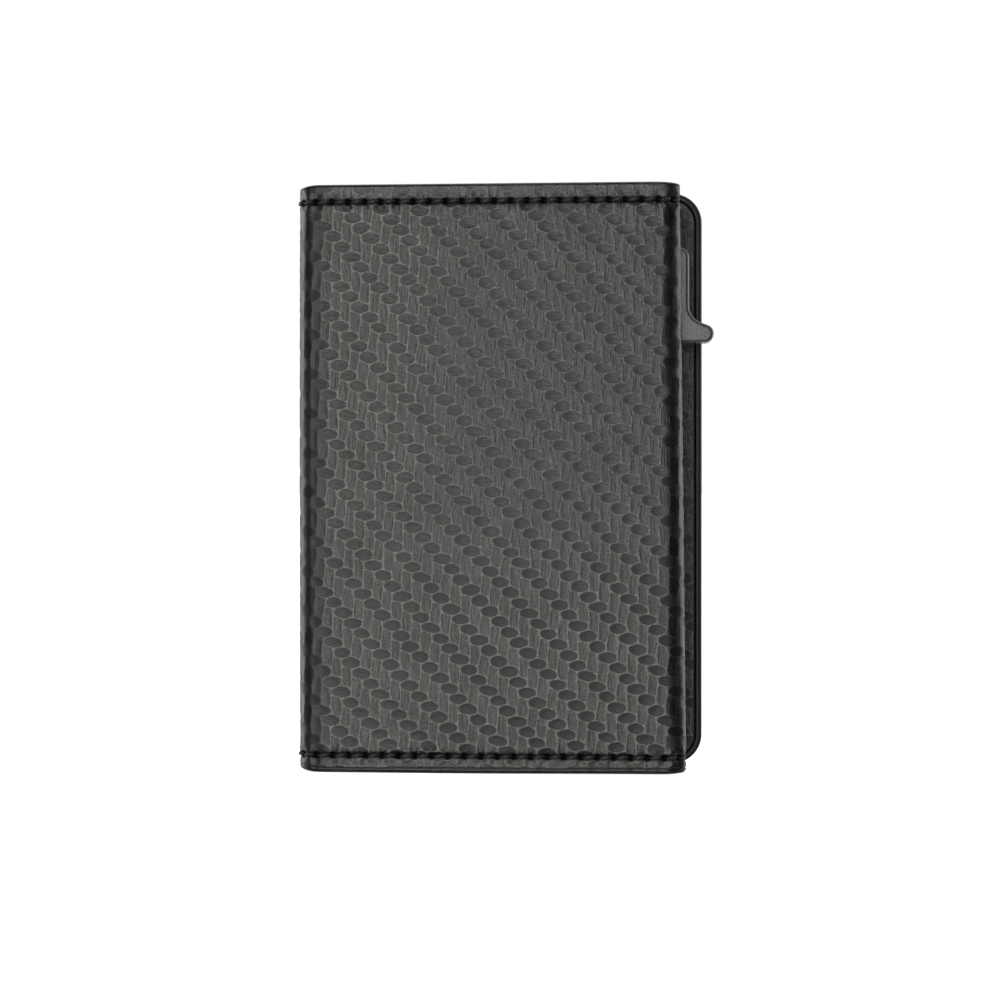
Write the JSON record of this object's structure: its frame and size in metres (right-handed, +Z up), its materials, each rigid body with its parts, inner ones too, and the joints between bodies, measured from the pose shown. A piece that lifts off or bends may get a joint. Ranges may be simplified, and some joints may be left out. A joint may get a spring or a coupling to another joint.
{
  "type": "minimalist wallet",
  "caption": "Slim pop-up card wallet: a rigid card case with a side trigger and a fan arm, inside a folded leather cover with a note pocket and magnetic closure.",
  "frame": {"origin": "bottom centre of the whole object's box, standing on its lower edges with the cover closed", "axes": "+Z up along the height, +X towards the trigger side, +Y out of the back panel; the folded front cover faces -Y"},
  "size_m": [0.071, 0.018, 0.1],
  "materials": {
    "carbon_leather": "grey leather embossed with a carbon twill weave, satin",
    "lining_leather": "dark grey leather, fine emboss, satin",
    "board": "matte fibre stiffener sheet",
    "thread": "waxed black bonded thread",
    "case_aluminium": "anodised dark grey, fine brushed",
    "end_plastic": "moulded black, fine texture",
    "trigger_plastic": "moulded dark grey, satin",
    "carriage_plastic": "moulded acetal, satin",
    "arm_plastic": "moulded natural acetal, satin",
    "steel": "bright drawn",
    "magnet": "nickel plated",
    "felt": "short black felt",
    "adhesive": "double-sided foam tape"
  },
  "bodies": {
    "card_case": {"back_leather": "carbon_leather", "back_board": "board", "back_lining": "lining_leather", "back_thread": "thread", "adhesive_pad": "adhesive", "case_tube": "case_aluminium", "end_cap": "end_plastic", "mouth_collar": "end_plastic", "keeper_lower": "steel", "keeper_upper": "steel", "grip_pad_left": "felt", "grip_pad_right": "felt", "pivot_pin": "steel"},
    "spine": {"spine_leather": "carbon_leather", "spine_lining": "lining_leather", "spine_thread_lower": "thread", "spine_thread_upper": "thread"},
    "front_cover": {"front_leather": "carbon_leather", "front_board": "board", "front_thread_lower": "thread", "front_thread_upper": "thread", "magnet_lower": "magnet", "magnet_upper": "magnet"},
    "trigger": {"trigger": "trigger_plastic", "trigger_carriage": "carriage_plastic", "trigger_rivet": "steel"},
    "fan_arm": {"fan_arm": "arm_plastic"}
  },
  "joints": [
    {"name": "spine_fold", "type": "hinge", "parent": "card_case", "child": "spine", "pos_m": [-0.03472, 0.0082, 0.05], "axis": [0, 0, -1], "range_deg": [0, 90]},
    {"name": "cover_fold", "type": "hinge", "parent": "spine", "child": "front_cover", "pos_m": [-0.03472, -0.0082, 0.05], "axis": [0, 0, -1], "range_deg": [0, 90]},
    {"name": "trigger_slide", "type": "slide", "parent": "card_case", "child": "trigger", "axis": [0, 0, -1], "range_m": [0, 0.025]},
    {"name": "fan_turn", "type": "hinge", "parent": "card_case", "child": "fan_arm", "pos_m": [-0.02712, 0, 0.0923], "axis": [0, 1, 0], "range_deg": [0, 36.75]}
  ],
  "couplings": [
    {"joint": "fan_turn", "follows": "trigger_slide", "rad_per_m": 25.641}
  ]
}
